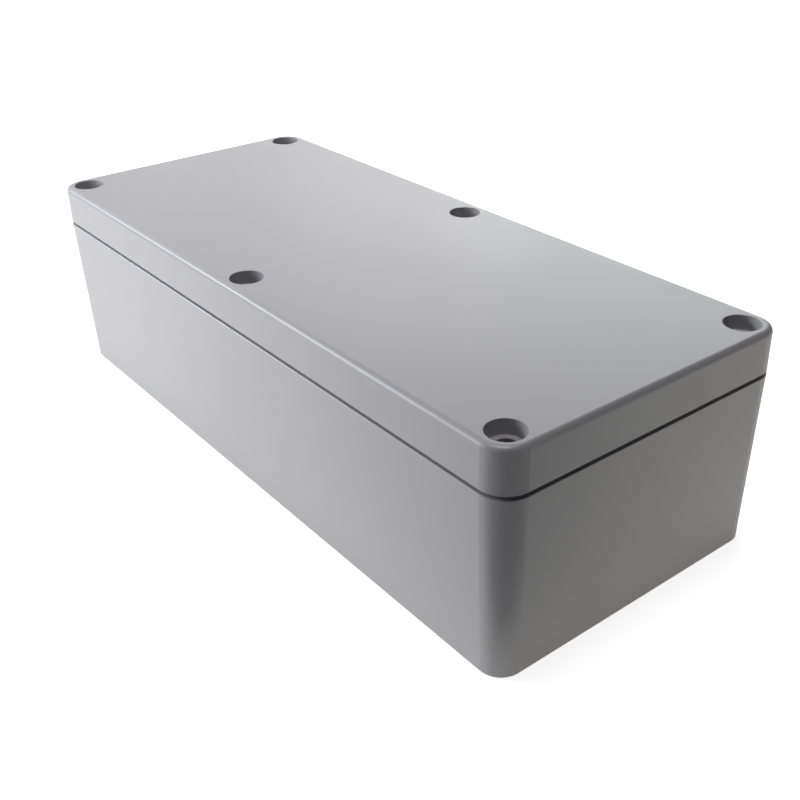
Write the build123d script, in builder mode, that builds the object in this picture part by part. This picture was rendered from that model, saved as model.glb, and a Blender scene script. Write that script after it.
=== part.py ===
from build123d import *
from math import isclose
import os

os.makedirs("parts", exist_ok=True)

# A long polycarbonate box for electronics: a deep base and a shallow lid that meet at a level seam.
# Six screws close it, and each stands in a bay outside the seal, so no screw hole opens into the dry room.
# X runs along the length, Y along the width and Z up. The origin is the centre of the underside.

# Outer size, with length and width taken at the seam, where the box is largest
length = 240.0
width = 100.0
height = 68.0
lid_height = 12.8
corner_radius = 8.0
top_round = 1.7
bottom_edge = 0.6
base_draft = 1.3
lid_draft = 0.5

# Walls
wall = 4.0
floor_thickness = 3.6
lid_thickness = 3.5

# Shadow line round the seam, between the rim of the base and the foot of the lid
reveal_height = 0.8
reveal_depth = 1.4
rim_edge = 0.15
foot_edge = 0.4

# Seal: the lip of the base stands in the groove of the lid and presses on the gasket
lip_thickness = 1.8
lip_clearance = 0.2
gasket_height = 2.5
gasket_clearance = 0.1
groove_rib = 1.6
rib_short = 2.0

# Lid screws, one in each corner and one halfway along each side
corner_inset = 8.0
side_inset = 8.0
screw_hole = 5.6
well_mouth = 10.2
well_bottom = 9.0
well_depth = 3.9
well_edge = 0.1

# Bays that the seal steps round
bay_reach = 7.9
bay_round = 5.5
step_round = 3.0

# Threaded inserts, and the channels below them that keep the pillars from being solid lumps
insert_diameter = 5.6
insert_length = 8.0
insert_bore = 3.3
insert_flat_count = 12
insert_clearance = 0.05
insert_sink = 0.2
channel_floor = 4.0

# Wall fixing holes, beside the corner screws and hidden under the lid
fixing_pitch = 14.0
fixing_hole = 4.5
fixing_bore = 8.6
fixing_seat = 4.0

# Bosses for a circuit board on the floor
boss_to_bay = 10.1
boss_to_side = 18.0
boss_diameter = 7.2
boss_height = 6.0
boss_hole = 3.2
boss_hole_depth = 8.0

seam_z = height - lid_height
rim_z = seam_z - reveal_height
ceiling_z = height - lid_thickness
lip_height = ceiling_z - gasket_height - seam_z
boss_top_z = floor_thickness + boss_height

corner_x = length / 2 - corner_inset
corner_y = width / 2 - corner_inset
side_y = width / 2 - side_inset
fixing_x = corner_x - fixing_pitch
board_hole_x = 2 * (fixing_x - bay_reach - boss_to_bay)
board_hole_y = width - 2 * boss_to_side

corner_screws = [(x, y) for x in (-corner_x, corner_x) for y in (-corner_y, corner_y)]
side_screws = [(0, -side_y), (0, side_y)]
screws = corner_screws + side_screws
fixings = [(x, y) for x in (-fixing_x, fixing_x) for y in (-corner_y, corner_y)]


def at_height(places, z):
    return [(x, y, z) for x, y in places]


def sealed_area(grow):
    """The inside of the box in plan, moved outwards by grow, with its steps round the six screws.

    Every outline of the seal is this one, moved in or out, so lip, groove and gasket stay parallel."""
    half_x = length / 2 - wall + grow
    half_y = width / 2 - wall + grow
    bay_x = fixing_x - bay_reach + grow
    bay_y = corner_y - bay_reach + grow
    side_bay_y = side_y - bay_reach + grow
    with BuildSketch() as area:
        Rectangle(2 * half_x, 2 * half_y)
        with Locations(*[(x, y) for x in (-half_x, half_x) for y in (-half_y, half_y)]):
            Rectangle(2 * (half_x - bay_x), 2 * (half_y - bay_y), mode=Mode.SUBTRACT)
        with Locations((0, -half_y), (0, half_y)):
            Rectangle(2 * (bay_reach - grow), 2 * (half_y - side_bay_y), mode=Mode.SUBTRACT)
        roots = area.vertices().filter_by(
            lambda v: isclose(abs(v.X), half_x, rel_tol=1e-6) or isclose(abs(v.Y), half_y, rel_tol=1e-6)
        )
        tips = area.vertices() - roots
        fillet(tips, bay_round - grow)
        fillet(roots, step_round + grow)
    return area.sketch


# Base

with BuildPart() as room:
    with BuildSketch(Plane.XY.offset(seam_z + lip_height)):
        add(sealed_area(0))
    extrude(amount=floor_thickness - seam_z - lip_height, taper=base_draft)

with BuildPart() as base:
    with BuildSketch(Plane.XY.offset(rim_z)):
        RectangleRounded(length, width, corner_radius)
    extrude(amount=-rim_z, taper=base_draft)
    chamfer(base.edges().group_by(Axis.Z)[0], bottom_edge)
    chamfer(base.edges().group_by(Axis.Z)[-1], rim_edge)
    with BuildSketch(Plane.XY.offset(rim_z)):
        RectangleRounded(
            length - 2 * reveal_depth, width - 2 * reveal_depth, corner_radius - reveal_depth
        )
    extrude(amount=reveal_height)
    with BuildSketch(Plane.XY.offset(seam_z)):
        add(sealed_area(lip_thickness))
    extrude(amount=lip_height)
    add(room.part, mode=Mode.SUBTRACT)

    with BuildSketch(Plane.XY.offset(floor_thickness)):
        with GridLocations(board_hole_x, board_hole_y, 2, 2):
            Circle(boss_diameter / 2)
    extrude(amount=boss_height)
    with Locations(Plane.XY.offset(boss_top_z)):
        with GridLocations(board_hole_x, board_hole_y, 2, 2):
            Hole(boss_hole / 2, depth=boss_hole_depth)

    with Locations(*at_height(screws, seam_z)):
        Hole(insert_diameter / 2 + insert_clearance, depth=seam_z - channel_floor)
    with Locations(*at_height(fixings, seam_z)):
        CounterBoreHole(fixing_hole / 2, fixing_bore / 2, seam_z - fixing_seat)
base.part.label = "base"
export_step(base.part, "parts/base.step")

# Lid

groove_outer = lip_thickness + lip_clearance
groove_inner = -lip_clearance
lid_room = groove_inner - groove_rib

with BuildPart() as lid:
    with BuildSketch(Plane.XY.offset(seam_z)):
        RectangleRounded(length, width, corner_radius)
    extrude(amount=lid_height, taper=lid_draft)
    fillet(lid.edges().group_by(Axis.Z)[-1], top_round)
    chamfer(lid.edges().group_by(Axis.Z)[0], foot_edge)
    with BuildSketch(Plane.XY.offset(seam_z)):
        add(sealed_area(groove_outer))
    extrude(amount=ceiling_z - seam_z, mode=Mode.SUBTRACT)
    with BuildSketch(Plane.XY.offset(seam_z + rib_short)):
        add(sealed_area(groove_inner))
        add(sealed_area(lid_room), mode=Mode.SUBTRACT)
    extrude(amount=ceiling_z - seam_z - rib_short)
    with Locations(*at_height(screws, height)):
        Cone(
            well_bottom / 2,
            well_mouth / 2,
            well_depth,
            align=(Align.CENTER, Align.CENTER, Align.MAX),
            mode=Mode.SUBTRACT,
        )
        Hole(screw_hole / 2, depth=lid_height)
    rings = lid.edges().filter_by(GeomType.CIRCLE).filter_by(lambda e: e.is_closed)
    chamfer(rings.group_by(Axis.Z)[-1], well_edge)
lid.part.label = "lid"
export_step(lid.part, "parts/lid.step")

# Gasket

with BuildPart() as gasket:
    with BuildSketch(Plane.XY.offset(ceiling_z - gasket_height)):
        add(sealed_area(groove_outer - gasket_clearance))
        add(sealed_area(groove_inner + gasket_clearance), mode=Mode.SUBTRACT)
    extrude(amount=gasket_height)
gasket.part.label = "gasket"
export_step(gasket.part, "parts/gasket.step")


# Threaded inserts


def threaded_insert(x, y):
    """A brass bush whose flats grip the mouth of the channel in its pillar."""
    with BuildPart() as insert:
        with BuildSketch(Plane((x, y, seam_z - insert_sink))):
            RegularPolygon(insert_diameter / 2, insert_flat_count)
            Circle(insert_bore / 2, mode=Mode.SUBTRACT)
        extrude(amount=-insert_length)
    return insert.part


for number, (x, y) in enumerate(screws, start=1):
    bush = threaded_insert(x, y)
    bush.label = f"insert_{number}"
    export_step(bush, f"parts/{bush.label}.step")
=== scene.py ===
# %% [markdown]
# # A screwed polycarbonate box
#
# The box is a deep base and a shallow lid, moulded in light grey polycarbonate with a very fine,
# matt texture. Six screws would close it: each stands in a well in the lid and runs into a brass
# insert in the base. A gasket lies between the two halves.
#
# Every piece of the box comes from the CAD model at its real size, so this script never moves or
# resizes one. It gives each piece its finish, puts true threads and knurling on the inserts, and
# sets up the table, the lamps and the camera.

# %% Load the model
import math

import bpy
from mathutils import Matrix, Vector


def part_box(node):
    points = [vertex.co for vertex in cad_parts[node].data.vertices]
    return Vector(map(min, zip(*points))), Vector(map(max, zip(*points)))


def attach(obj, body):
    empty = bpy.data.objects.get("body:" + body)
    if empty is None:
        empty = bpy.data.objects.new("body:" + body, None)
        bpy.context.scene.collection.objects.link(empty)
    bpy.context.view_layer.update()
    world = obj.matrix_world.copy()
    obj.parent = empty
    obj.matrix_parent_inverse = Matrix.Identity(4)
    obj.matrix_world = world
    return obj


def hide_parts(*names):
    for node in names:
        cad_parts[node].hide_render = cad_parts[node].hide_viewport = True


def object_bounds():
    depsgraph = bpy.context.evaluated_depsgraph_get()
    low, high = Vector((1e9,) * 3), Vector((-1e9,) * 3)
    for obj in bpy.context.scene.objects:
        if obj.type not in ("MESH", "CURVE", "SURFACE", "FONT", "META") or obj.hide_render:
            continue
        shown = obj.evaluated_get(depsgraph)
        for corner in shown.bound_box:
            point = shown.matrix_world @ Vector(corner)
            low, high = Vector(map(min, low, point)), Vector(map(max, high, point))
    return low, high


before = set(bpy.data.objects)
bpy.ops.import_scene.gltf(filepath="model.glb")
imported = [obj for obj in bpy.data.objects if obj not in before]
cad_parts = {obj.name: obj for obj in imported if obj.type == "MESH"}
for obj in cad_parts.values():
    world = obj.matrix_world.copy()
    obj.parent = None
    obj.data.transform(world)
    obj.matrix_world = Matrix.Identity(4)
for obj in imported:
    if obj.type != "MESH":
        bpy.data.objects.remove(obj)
cad_low, cad_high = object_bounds()
mm = 0.001
print("nodes:", ", ".join(sorted(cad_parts)))
print("size in mm:", [round(side / mm, 1) for side in cad_high - cad_low])

# %% [markdown]
# ## Writing nodes as sums
#
# A material or a Geometry Nodes tree is easier to read as a formula than as a list of boxes and
# wires. `Tree` makes nodes in either kind of tree, and `Wire` stands for one output. Adding or
# multiplying wires adds the Math nodes for it, so a bump height can be written as
# `grain + 0.5 * ripple`.


# %% A wire and a tree
class Wire:
    """One output socket, which can be used in sums. Each operator adds a Math node."""

    def __init__(self, tree, socket):
        self.tree = tree
        self.socket = socket

    def maths(self, operation, *values):
        return self.tree.node("ShaderNodeMath", {"operation": operation}, dict(enumerate(values)))

    def __add__(self, other):
        return self.maths("ADD", self, other)

    def __sub__(self, other):
        return self.maths("SUBTRACT", self, other)

    def __mul__(self, other):
        return self.maths("MULTIPLY", self, other)

    def __truediv__(self, other):
        return self.maths("DIVIDE", self, other)

    def __rsub__(self, other):
        return self.maths("SUBTRACT", other, self)

    __radd__ = __add__
    __rmul__ = __mul__

    def sine(self):
        return self.maths("SINE", self)

    def cosine(self):
        return self.maths("COSINE", self)

    def least(self, other):
        return self.maths("MINIMUM", self, other)

    def zigzag(self):
        """Climbs from 0 to 1 and comes back down, once for every 1 that the value grows by."""
        return 2 * self.maths("PINGPONG", self, 0.5)

    def part_way(self, start, length):
        """How far the value has gone from start over the given length, held between 0 and 1."""
        inputs = {"Value": self, "From Min": start, "From Max": start + length}
        return self.tree.node("ShaderNodeMapRange", {"clamp": True}, inputs)


class Tree:
    """Makes nodes in a material's tree or in a Geometry Nodes tree."""

    def __init__(self, nodes_and_links):
        self.nodes = nodes_and_links.nodes
        self.links = nodes_and_links.links

    def feed(self, node, sockets):
        """Gives each named input socket of a node its value or its wire."""
        for name, value in sockets.items():
            if isinstance(value, Wire):
                self.links.new(value.socket, node.inputs[name])
            else:
                node.inputs[name].default_value = value

    def node(self, kind, settings=None, inputs=None, output=0):
        """Adds a node, its settings first and then its sockets, and returns one of its outputs."""
        made = self.nodes.new(kind)
        for name, value in (settings or {}).items():
            setattr(made, name, value)
        self.feed(made, inputs or {})
        return Wire(self, made.outputs[output]) if made.outputs else None


# %% [markdown]
# ## Finishes
#
# Every material here has one Principled shader. A number that is the same all over goes straight on
# the shader's own socket. Only what changes over the surface is wired, and it starts from Object
# coordinates, so a pattern has its true size in metres and stays where it is on its piece.


# %% A material with one shader
def finish(name, constants):
    """A material with one Principled shader. Returns the material, its tree and its shader."""
    material = bpy.data.materials.new(name)
    material.use_nodes = True
    tree = Tree(material.node_tree)
    shader = tree.nodes["Principled BSDF"]
    tree.feed(shader, constants)
    return material, tree, shader


def noise(tree, cell, detail=2.0):
    """Noise from 0 to 1, whose patches are about one cell across."""
    place = tree.node("ShaderNodeTexCoord", output="Object")
    inputs = {"Vector": place, "Scale": 1 / cell, "Detail": detail}
    return tree.node("ShaderNodeTexNoise", inputs=inputs, output="Fac")


def tone(tree, dark, light, factor):
    """A colour between two others."""
    # A Mix node has sockets for every kind of data: its colours are inputs 6 and 7 and output 2
    inputs = {0: factor, 6: (*dark, 1), 7: (*light, 1)}
    return tree.node("ShaderNodeMix", {"data_type": "RGBA"}, inputs, output=2)


def relief(tree, height, depth, strength):
    """A Bump node: a surface roughened by height, a wire from 0 to about 1, to the given depth."""
    inputs = {"Height": height, "Distance": depth, "Strength": strength}
    return tree.node("ShaderNodeBump", inputs=inputs)


def plain_grey(level):
    """A colour without any tint, as a colour socket takes it."""
    return (level, level, level, 1)


# %% [markdown]
# ### Grey polycarbonate
#
# A moulded part takes the surface of its mould. This mould was spark-eroded, which leaves tiny
# round craters about a quarter of a millimetre across, so the plastic looks matt and even. A
# picture of such a texture would show where it repeats, so noise of that size feeds a Bump node
# instead. A much larger noise lets the tone and the gloss wander a little, as they do where the
# plastic flowed and cooled at different speeds.

# %% Grey polycarbonate
polycarbonate_ior = 1.58
crater = 0.26 * mm
crater_depth = 0.012 * mm
crater_strength = 0.6
ripple = 1.6 * mm
ripple_share = 0.5
flow_mark = 26 * mm
flow_detail = 3.0
grey_dark = (0.368, 0.365, 0.387)
grey_light = (0.388, 0.385, 0.408)
grey_roughness = 0.33
flow_roughness = 0.06

grey, tree, shader = finish("moulded_grey_polycarbonate", {"IOR": polycarbonate_ior})
flow = noise(tree, flow_mark, flow_detail)
texture = noise(tree, crater) + ripple_share * noise(tree, ripple)
grey_look = {
    "Base Color": tone(tree, grey_dark, grey_light, flow),
    "Roughness": grey_roughness + flow_roughness * flow,
    "Normal": relief(tree, texture, crater_depth, crater_strength),
}
tree.feed(shader, grey_look)
print("plastic:", grey.name)

# %% [markdown]
# ### Gasket rubber and turned brass
#
# The gasket is a soft black cord and the inserts are turned from brass. Both are hidden or deep in
# a well, so one noise each is enough: it stands for the pores of the rubber and for the rubbed
# patches of the brass. It feeds the colour and the roughness together, because an open pore and a
# rubbed patch are both paler and rougher than what lies beside them.

# %% Gasket rubber
rubber_ior = 1.5
pore = 0.4 * mm
pore_depth = 0.02 * mm
pore_strength = 0.5
rubber_dark = (0.020, 0.020, 0.022)
rubber_light = (0.032, 0.032, 0.034)
rubber_roughness = 0.62
pore_roughness = 0.16

rubber, tree, shader = finish("gasket_rubber", {"IOR": rubber_ior})
pores = noise(tree, pore)
rubber_look = {
    "Base Color": tone(tree, rubber_dark, rubber_light, pores),
    "Roughness": rubber_roughness + pore_roughness * pores,
    "Normal": relief(tree, pores, pore_depth, pore_strength),
}
tree.feed(shader, rubber_look)
print("seal:", rubber.name)

# %% Turned brass
rubbed_patch = 1.5 * mm
brass_dull = (0.58, 0.40, 0.16)
brass_bright = (0.76, 0.58, 0.28)
brass_roughness = 0.22
rubbed_roughness = 0.18

brass, tree, shader = finish("turned_brass", {"Metallic": 1.0})
rubbed = noise(tree, rubbed_patch)
brass_look = {
    "Base Color": tone(tree, brass_dull, brass_bright, rubbed),
    "Roughness": brass_roughness + rubbed_roughness * rubbed,
}
tree.feed(shader, brass_look)
print("inserts:", brass.name)

# %% [markdown]
# ### Giving out the finishes
#
# A piece from the CAD model comes with one material slot, so its finish goes straight into that.
# The inserts get theirs later, from the node tree that makes them.

# %% Finishes on the moulded pieces
for node, material in {"base": grey, "lid": grey, "gasket": rubber}.items():
    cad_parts[node].material_slots[0].material = material
    print(node, "is", material.name)

# %% [markdown]
# ## Inserts
#
# A threaded insert is a small turned brass bush. Its outside is knurled, so that it grips the
# plastic, and its bore has a thread for a 4 mm screw. In the CAD model it is a plain twelve-sided
# bush. A Screw modifier could wind the thread, but would then have to be joined to the knurling.
#
# Here the whole skin of the bush is one sheet, rolled up: across the sheet the angle goes once
# round, and along the sheet the section goes across the foot, up the outside, across the top and
# down the bore. Both the knurling and the thread are zigzags of angle and height, so a formula in
# Geometry Nodes moves each point of a flat grid to its place, and one tree makes all six inserts.

# %% Sizes of thread and knurling
thread_pitch = 0.7 * mm
thread_core_radius = 1.65 * mm
thread_depth = 0.3 * mm
knurl_count = 24
knurl_height = 1.2 * mm
knurl_depth = 0.16 * mm
lead_in = 0.4 * mm
lead_in_depth = 0.2 * mm

# The sheet: columns go round the bush and rows go along its section
columns = 72
rows = 108
foot_share = 0.03
outside_share = 0.27
bore_share = 1 - 2 * foot_share - outside_share
weld_distance = 0.002 * mm
print("thread:", round(thread_pitch / mm, 2), "mm pitch; knurling:", knurl_count, "teeth round")


# %% The tree for an insert
def insert_tree():
    """A Geometry Nodes tree that rolls a grid into a knurled and threaded bush."""
    group = bpy.data.node_groups.new("knurled insert", "GeometryNodeTree")
    sizes = ("Outer Radius", "Bore Radius", "Length", "Foot", "Place X", "Place Y")
    for name in sizes:
        group.interface.new_socket(name, in_out="INPUT", socket_type="NodeSocketFloat")
    group.interface.new_socket("Finish", in_out="INPUT", socket_type="NodeSocketMaterial")
    group.interface.new_socket("Geometry", in_out="OUTPUT", socket_type="NodeSocketGeometry")
    tree = Tree(group)
    given = [tree.node("NodeGroupInput", output=name) for name in sizes]
    outer, bore, length, foot, place_x, place_y = given

    # The grid is 1 by 1 about its middle, so a half is added to make both positions start at 0
    counts = {"Size X": 1.0, "Size Y": 1.0, "Vertices X": columns + 1, "Vertices Y": rows + 1}
    sheet = tree.node("GeometryNodeMeshGrid", inputs=counts)
    point = tree.node("GeometryNodeInputPosition")
    across = tree.node("ShaderNodeSeparateXYZ", inputs={0: point}, output="X") + 0.5
    along = tree.node("ShaderNodeSeparateXYZ", inputs={0: point}, output="Y") + 0.5
    out = along.part_way(0.0, foot_share)
    up = along.part_way(foot_share, outside_share)
    back = along.part_way(foot_share + outside_share, foot_share)
    down = along.part_way(1 - bore_share, bore_share)
    level = length * (up - down)

    # The two hands of the knurling cross, and knurling and thread both run out at the two ends
    right_hand = (across * knurl_count - level / knurl_height).zigzag()
    left_hand = (across * knurl_count + level / knurl_height).zigzag()
    knurl = knurl_depth * (1 - left_hand.least(right_hand))
    inwards = level.least(length - level).part_way(0.0, lead_in)
    outside = outer - knurl - lead_in_depth * (1 - inwards)
    thread = thread_depth * (level / thread_pitch + across).zigzag()
    inside = bore + thread * inwards
    radius = inside + (outside - inside) * (out - back)

    turn = across * math.tau
    x = place_x + radius * turn.cosine()
    y = place_y + radius * turn.sine()
    spot = tree.node("ShaderNodeCombineXYZ", inputs={"X": x, "Y": y, "Z": foot + level})
    bush = tree.node("GeometryNodeSetPosition", inputs={"Geometry": sheet, "Position": spot})
    weld = {"Geometry": bush, "Distance": weld_distance}
    bush = tree.node("GeometryNodeMergeByDistance", inputs=weld)
    bush = tree.node("GeometryNodeRealizeInstances", inputs={"Geometry": bush})
    metal = tree.node("NodeGroupInput", output="Finish")
    bush = tree.node("GeometryNodeSetMaterial", inputs={"Geometry": bush, "Material": metal})
    tree.node("NodeGroupOutput", inputs={"Geometry": bush})
    return group


insert_nodes = insert_tree()
print(insert_nodes.name, "has", len(insert_nodes.nodes), "nodes")


# %% From tree to mesh
def plain_mesh(name, group, values):
    """Runs a Geometry Nodes tree once and keeps its result as a plain mesh object."""
    holder = bpy.data.objects.new(name, bpy.data.meshes.new(name))
    bpy.context.scene.collection.objects.link(holder)
    modifier = holder.modifiers.new("nodes", "NODES")
    modifier.node_group = group
    for item in group.interface.items_tree:
        if item.in_out == "INPUT" and item.name in values:
            modifier[item.identifier] = values[item.name]
    evaluated = holder.evaluated_get(bpy.context.evaluated_depsgraph_get())
    mesh = bpy.data.meshes.new_from_object(evaluated)
    mesh.name = name
    holder.modifiers.clear()
    holder.data = mesh
    return holder


def faces_outwards(mesh):
    """True if a closed mesh's faces point outwards, as its volume then comes out positive."""
    mesh.calc_loop_triangles()
    corners = [[mesh.vertices[i].co for i in face.vertices] for face in mesh.loop_triangles]
    return sum(a.dot(b.cross(c)) for a, b, c in corners) > 0


# %% Six inserts
for name in sorted(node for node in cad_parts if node.startswith("insert_")):
    low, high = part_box(name)
    middle = (low + high) / 2
    sizes = {
        "Outer Radius": (high.x - low.x) / 2,
        "Bore Radius": thread_core_radius,
        "Length": high.z - low.z,
        "Foot": low.z,
        "Place X": middle.x,
        "Place Y": middle.y,
        "Finish": brass,
    }
    bush = plain_mesh("threaded_" + name, insert_nodes, sizes)
    if not faces_outwards(bush.data):
        bush.data.flip_normals()
    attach(bush, "root")
    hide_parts(name)
    print(bush.name, "has", len(bush.data.polygons), "faces")

# %% [markdown]
# ## Table
#
# The box stands on a white table that glows a little, as a light table does, so that its lower
# edges stay clear of shadow. In a product picture such a table is burnt out to plain white, and
# only a breath of shadow is left. More light on the table would do that, but would also light the
# box from below.
#
# So there are two tables in one place. The camera sees the bright one, and the light that reaches
# the box comes from the dimmer one just below.
#
# Cycles finds a glowing surface in two ways: a ray happens to hit it, or is aimed at it on purpose.
# The second way is turned off here, because an aimed ray would pass through the dark card that
# comes later. From below the tables are clear, by a Mix Shader, so that the underside of the box
# can be looked at.

# %% Table
table_size = 6.0
table_gap = 0.1 * mm
table_grey = 0.85
matt_roughness = 0.9
seen_glow = 0.8
seen_tint = (1.0, 1.0, 1.0)
real_glow = 0.456
real_tint = (1.0, 0.99, 0.89)


def clear_from_below(tree, shader):
    """Lets a plane with this shader be seen from above only."""
    below = tree.node("ShaderNodeNewGeometry", output="Backfacing")
    clear = tree.node("ShaderNodeBsdfTransparent")
    sides = {0: below, 1: Wire(tree, shader.outputs["BSDF"]), 2: clear}
    mixed = tree.node("ShaderNodeMixShader", inputs=sides)
    tree.feed(tree.nodes["Material Output"], {"Surface": mixed})


def table_top(name, level, glow, tint, for_camera):
    """A matt white, glowing plane that either the camera or the light alone can see."""
    bpy.ops.mesh.primitive_plane_add(size=table_size, location=(0, 0, level))
    top = bpy.context.object
    top.name = name
    top.visible_camera = for_camera
    top.visible_diffuse = not for_camera
    top.visible_glossy = not for_camera
    top.visible_shadow = False
    constants = {
        "Base Color": plain_grey(table_grey),
        "Roughness": matt_roughness,
        "Emission Color": (*tint, 1),
        "Emission Strength": glow,
    }
    white, tree, shader = finish(name, constants)
    white.cycles.emission_sampling = "NONE"
    clear_from_below(tree, shader)
    top.data.materials.append(white)
    print(name, "glows at", glow)


table_top("bright_table", cad_low.z, seen_glow, seen_tint, for_camera=True)
table_top("dim_table", cad_low.z - table_gap, real_glow, real_tint, for_camera=False)

# %% [markdown]
# ## Backdrop
#
# Behind the table a studio has a sheet of paper, bent up out of sight. A world colour does the same
# for every view at once. It is nearly as white as the table, so a low view shows no hard horizon,
# and only the camera sees it, so it adds no light. The Standard view keeps it and the table as
# white as they are set, where the usual one would turn them grey.

# %% Backdrop
backdrop_grey = 0.84
world = bpy.data.worlds.new("backdrop")
bpy.context.scene.world = world
world.use_nodes = True
background = world.node_tree.nodes["Background"]
Tree(world.node_tree).feed(background, {"Color": plain_grey(backdrop_grey), "Strength": 1.0})
for ray in ("diffuse", "glossy", "transmission", "scatter"):
    setattr(world.cycles_visibility, ray, False)
bpy.context.scene.view_settings.view_transform = "Standard"
print("backdrop:", backdrop_grey)

# %% [markdown]
# ## Lamps
#
# All other light comes from soft lamps. Their places are given by how far round the box and how
# high they stand: 0 degrees is straight in front of the long side, 90 is to the right, beyond the
# short end, and 180 is behind.
#
# Two lamps on the left light the long side, and the nearer one makes the light fall off towards the
# right. Their reflection is the bright line along the top edge, and a third lamp between them and
# the back ones keeps the rounded edge beside that line from going dark. Three low lamps behind lay
# a sheen on the lid, which is brightest at its far edge. One lamp overhead reaches into the screw
# wells.

# %% Lamps
box_middle = (cad_low + cad_high) / 2
blue_white = (0.92, 0.93, 1.0)
green_white = (0.97, 1.0, 0.98)
pink_white = (1.0, 0.975, 1.0)


def towards(round_degrees, up_degrees):
    """The direction from the box to a place so far round it from the front and so far up."""
    turn, rise = math.radians(round_degrees), math.radians(up_degrees)
    outwards = math.cos(rise)
    return Vector((math.sin(turn) * outwards, -math.cos(turn) * outwards, math.sin(rise)))


def soft_lamp(name, round_degrees, up_degrees, distance, across, power, tint):
    """A round soft lamp that faces the middle of the box, and that no camera sees."""
    lamp = bpy.data.lights.new(name, "AREA")
    lamp.shape = "DISK"
    lamp.size = across
    lamp.energy = power
    lamp.color = tint
    direction = towards(round_degrees, up_degrees)
    light = bpy.data.objects.new(name, lamp)
    light.location = box_middle + direction * distance
    light.rotation_euler = direction.to_track_quat("Z", "Y").to_euler()
    light.visible_camera = False
    bpy.context.scene.collection.objects.link(light)
    print(name, "at", [round(value, 2) for value in light.location], "m,", power, "W")


soft_lamp("left_softbox", 300, 24, distance=1.2, across=0.28, power=4.80, tint=green_white)
soft_lamp("left_near_lamp", 330, 20, distance=0.35, across=0.16, power=0.490, tint=blue_white)
soft_lamp("edge_softbox", 268, 32, distance=2.0, across=0.9, power=6.0, tint=green_white)
soft_lamp("back_left_softbox", 240, 16, distance=2.0, across=1.0, power=4.58, tint=pink_white)
soft_lamp("back_softbox", 215, 16, distance=2.0, across=1.0, power=7.75, tint=green_white)
soft_lamp("back_lamp", 232, 24, distance=1.0, across=0.3, power=0.289, tint=green_white)
soft_lamp("overhead_softbox", 0, 88, distance=1.2, across=0.5, power=5.45, tint=pink_white)

# %% [markdown]
# ## Dark card
#
# A pale object on a white table looks flat if light comes back at it from every side, so
# photographers lay a dark card beside the edge that should stay crisp. Here it lies in front of the
# near corner. The camera doesn't see it and it casts no shadow: it only keeps the table's light off
# that corner. It is clear from below as well, so that the white table under it gets all its light.

# %% Dark card
near_corner_turn = 52.0
card_start = 138 * mm
card_size = 500 * mm
card_height = 0.5 * mm
card_grey = 0.5

card_look = {"Base Color": plain_grey(card_grey), "Roughness": matt_roughness}
dark, tree, shader = finish("dark_card", card_look)
clear_from_below(tree, shader)

bpy.ops.mesh.primitive_plane_add(size=card_size)
card = bpy.context.object
card.name = "dark_card"
card_middle = card_start + card_size / 2
card.location = towards(near_corner_turn, 0) * card_middle + Vector((0, 0, card_height))
card.rotation_euler.z = math.radians(near_corner_turn)
card.visible_camera = False
card.visible_shadow = False
card.data.materials.append(dark)
print("card starts", round(card_start / mm), "mm from the middle of the box")

# %% [markdown]
# ## Camera
#
# The camera looks down on the near corner, the one at the front right. Its place was worked out
# from the outline of the box in the picture: how far round and how high it stands, how far away,
# and how much it is tilted.

# %% Camera
look_down = 29.735
tilt = math.radians(-1.064)
distance = 352.33 * mm
aim_right = 16.96 * mm
aim_up = -20.13 * mm
nearest_seen = 10 * mm
focal_pixels = 1070.6
picture_pixels = 800
lens_centre_pixels = 420
# Blender gives a camera's sensor and lens in millimetres
sensor = 36.0

back = towards(near_corner_turn, look_down)
right = towards(near_corner_turn + 90, 0)
up = back.cross(right)
tilted_right = right * math.cos(tilt) + up * math.sin(tilt)
tilted_up = up * math.cos(tilt) - right * math.sin(tilt)
axes = Matrix((tilted_right, tilted_up, back)).transposed()
spot = box_middle + back * distance + right * aim_right + up * aim_up

camera_data = bpy.data.cameras.new("camera")
camera_data.sensor_width = sensor
camera_data.lens = focal_pixels / picture_pixels * sensor
camera_data.shift_x = 0.5 - lens_centre_pixels / picture_pixels
camera_data.clip_start = nearest_seen
camera = bpy.data.objects.new("camera", camera_data)
camera.matrix_world = Matrix.Translation(spot) @ axes.to_4x4()
bpy.context.scene.collection.objects.link(camera)
bpy.context.scene.camera = camera
print("camera at", [round(value / mm) for value in spot], "mm, lens", round(camera_data.lens, 1))
